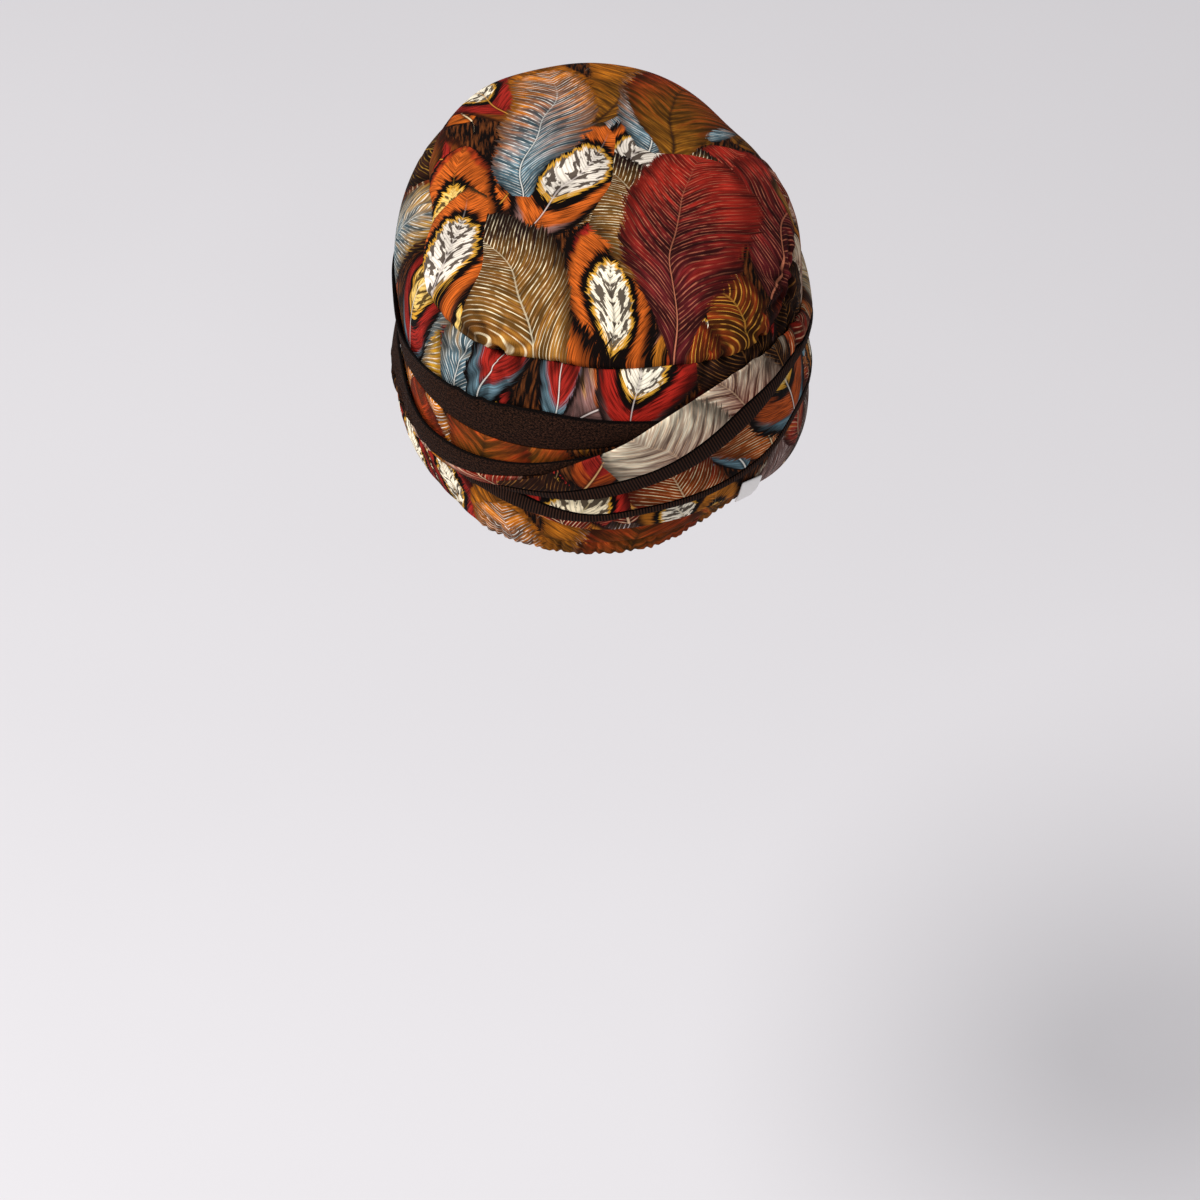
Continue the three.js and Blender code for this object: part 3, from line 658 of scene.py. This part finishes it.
# Creases of the cap: angle and climb (mm) where each starts at full depth, angle and climb
# where it fades out, then its width and depth in mm. Climb is height, and past the seam
# the way up the crown.
PUCKERS = [
    (-29, 102, -30, 100, 2.5, 3.1), (-29, 102, -47, 110, 1.9, 2.3),
    (-29, 102, -40, 124, 2.1, 2.5), (-29, 102, -30, 128, 1.9, 2.0),
    (-28, 102, -16, 116, 1.9, 1.7), (-29, 102, -46, 94, 1.9, 2.1),
    (-29, 102, -39, 78, 2.1, 2.5), (-29, 102, -30, 76, 1.9, 2.1),
    (-28, 102, -21, 82, 1.9, 2.0), (-28, 102, -12, 93, 1.8, 1.6),
    (67, 100, 67, 98, 2.5, 2.9), (67, 99.5, 49, 110, 1.9, 2.2),
    (67, 100, 58, 126, 2.1, 2.3), (67, 100, 69, 128, 1.9, 2.1),
    (67, 100, 82, 118, 1.9, 1.8), (67, 100, 51, 90, 1.9, 2.1),
    (67, 100, 58, 78, 2.1, 2.2), (67, 100, 68, 78, 1.9, 1.8),
    (67, 100, 78, 84, 1.8, 1.3), (47, 98, 37, 118, 1.9, 1.7),
    (47, 98, 44, 80, 1.9, 1.6), (47, 98, 36, 88, 1.8, 1.3),
]
NAPE_FOLDS = [
    (-88, 30, -56, 9, 2.0, 1.1), (-80, 34, -48, 9, 2.0, 1.2), (-70, 36, -41, 8, 2.0, 1.2),
    (-60, 37, -35, 8, 1.9, 1.1), (-50, 35, -29, 8, 1.8, 0.9), (-40, 31, -24, 8, 1.7, 0.8),
    (-98, 26, -70, 9, 2.0, 0.9), (-108, 24, -84, 9, 2.0, 0.7),
]
SEAM_GATHERS = 52
HEM_GATHERS = 34
HEM_GATHERED = (-32.0, 62.0)


def seam_gathers(seam):
    """Short uneven creases off the crown seam, down the wall and up the crown."""
    creases = []
    for k in range(SEAM_GATHERS):
        at = -180.0 + 360.0 * k / SEAM_GATHERS + 2.2 * math.sin(2.4 * k)
        up = float(np.interp(at, *seam))
        long = 8.0 + 4.5 * math.sin(1.7 * k)
        deep = 1.0 + 0.55 * math.sin(5.3 * k)
        creases.append((at, up, at + 3.0 * math.sin(3.1 * k), up - long, 1.7, deep))
        creases.append((at, up, at + 3.0 * math.sin(4.7 * k), up + 0.7 * long, 1.7, 0.6 * deep))
    return creases


def hem_gathers():
    """Small upright creases where the casing is drawn in at the nape."""
    creases = []
    for k in range(HEM_GATHERS):
        at = HEM_GATHERED[0] + (HEM_GATHERED[1] - HEM_GATHERED[0]) * k / HEM_GATHERS
        at += 0.5 * math.sin(2.9 * k)
        deep = 0.9 + 0.3 * math.sin(4.1 * k)
        creases.append((at, -1.5, at + 0.8 * math.sin(1.9 * k), 11.0, 0.9, deep))
    return creases


def press_in(piece, creases, seam, side=-1.0, rim=None, hem_side=0.0):
    """Presses creases, the slow unevenness and the turned seam edges into a piece.

    seam and rim are the seam's height and the crown's rim, in mm by angle. side is 1 for
    cloth above the seam. hem_side is 1 above the hem's seam and -1 below it. Every piece
    moves by one rule, so that layers stay apart.
    """
    points = points_of(piece)
    angle = angles_of(points, 0.0)
    reach = np.hypot(points[:, 0], points[:, 1]) / MM
    climb = points[:, 2] / MM
    off = np.clip(side * (climb - np.interp(angle, *seam)), 0.0, None)
    turned = np.clip(1.0 - off / SEAM_TURN_MM, 0.0, 1.0) ** 2
    tucked = np.clip(1.0 - np.abs(climb - HEM_TOP_MM) / SEAM_TURN_MM, 0.0, 1.0) ** 2
    if rim is not None:
        climb = climb + np.maximum(0.0, np.interp(angle, *rim) - reach)
    push = creased(angle, climb, reach, creases)
    # Each point's crease depth, which the print reads to paint shade into the bottoms of folds
    piece.data.attributes.new("fold", "FLOAT", "POINT").data.foreach_set("value", push)
    push += undulation(points) + SEAM_IN_MM * turned + HEM_IN_MM * tucked
    moved = outwards(points) * -push[:, None]
    moved[:, 2] -= side * SEAM_LAP_MM * turned + hem_side * HEM_LAP_MM * tucked
    set_points(piece, points + moved * MM)


def lift_edge(piece, middle, lift, down, start, end):
    """Lifts a strip's upper edge off the cap, or settles it on, from one angle to another."""
    points = points_of(piece)
    angle = angles_of(points, middle)
    at, _, high = edge_heights(points, middle)
    below = (np.interp(angle, at, high) - points[:, 2]) / MM
    lift = lift * np.clip(1.0 - below / down, 0.0, 1.0)
    lift *= np.clip((angle - start) / LIFT_FADE, 0.0, 1.0)
    lift *= np.clip((end - angle) / LIFT_FADE, 0.0, 1.0)
    set_points(piece, points + outwards(points) * lift[:, None] * MM)


def dress(piece, node_name, material):
    piece.data.materials.clear()
    piece.data.materials.append(material)
    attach(piece, "root")
    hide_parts(node_name)


make_camera()
make_studio()
make_floor()

printed = printed_viscose_jersey(painted_leaf_layer())
facing = brown_jersey_facing()
binding = ribbed_brown_binding()
tape = white_woven_tape()

# Crown panel and side wall: creased at the seam, whose two edges turn in to meet
wall = dense_cloth("side_wall", CAP_LEVELS, False)
crown = dense_cloth("crown_panel", CAP_LEVELS, False)
seam_at, _, seam_high = edge_heights(points_of(wall), 0.0)
seam = (seam_at, seam_high / MM)
rim = crown_rim(points_of(crown))
lay_cloth(wall, 0.0, False, CAP_PRINT)
lay_crown(crown)

creases = PUCKERS + NAPE_FOLDS + seam_gathers(seam)
press_in(wall, creases, seam, hem_side=1.0)
press_in(crown, creases, seam, 1.0, rim)

hem = dense_cloth("gathered_hem", CAP_LEVELS, True)
lay_cloth(hem, 0.0, False, CAP_PRINT)
press_in(hem, creases + hem_gathers(), seam, hem_side=-1.0)

dress(crown, "crown_panel", printed)
dress(wall, "side_wall", printed)
dress(hem, "gathered_hem", printed)

# Wraps: node, middle of its angles, finish, the print's start, the cut's length and its
# area where it is narrower than a centimetre
WRAPS = [
    ("base_wrap", 99.0, printed, (300.0, 5.0), (0.030, 0.42), None),
    ("right_lower_wrap", 75.0, printed, (30.0, 40.0), (0.030, 0.45), None),
    ("right_lower_binding", 75.0, binding, (0.0, 0.0), (0.0100, 0.45), 0.00324),
    ("left_upper_wrap", -90.0, printed, (-210.0, 90.0), (0.018, 0.40), None),
    ("left_upper_facing", -90.0, facing, (0.0, 0.0), (0.017, 0.40), None),
    ("left_lower_wrap", -96.0, printed, (-90.0, 150.0), (0.010, 0.38), 0.00228),
    ("left_lower_facing", -96.0, facing, (0.0, 0.0), (0.014, 0.38), None),
    ("right_upper_wrap", 87.0, printed, (120.0, 200.0), (0.014, 0.40), None),
    ("right_upper_binding", 87.0, binding, (0.0, 0.0), (0.0100, 0.40), 0.0030),
]
# Upper edges moved: lift and reach down in mm, then from and to which angle
EDGE_LIFTS = {
    "left_upper_facing": (0.55, 3.0, -400.0, -2.0),
    "right_upper_wrap": (-1.8, 8.0, 50.0, 140.0),
}
for node_name, middle, finish, shift, flat, area in WRAPS:
    piece = dense_cloth(node_name, WRAP_LEVELS, True)
    lay_cloth(piece, middle, True, shift)
    press_in(piece, creases, seam)
    if node_name in EDGE_LIFTS:
        lift_edge(piece, middle, *EDGE_LIFTS[node_name])
    dress(piece, node_name, finish)

tab = dense_cloth("side_tab", WRAP_LEVELS, True)
lay_cloth(tab, 42.0, False)
press_in(tab, creases, seam)
dress(tab, "side_tab", tape)
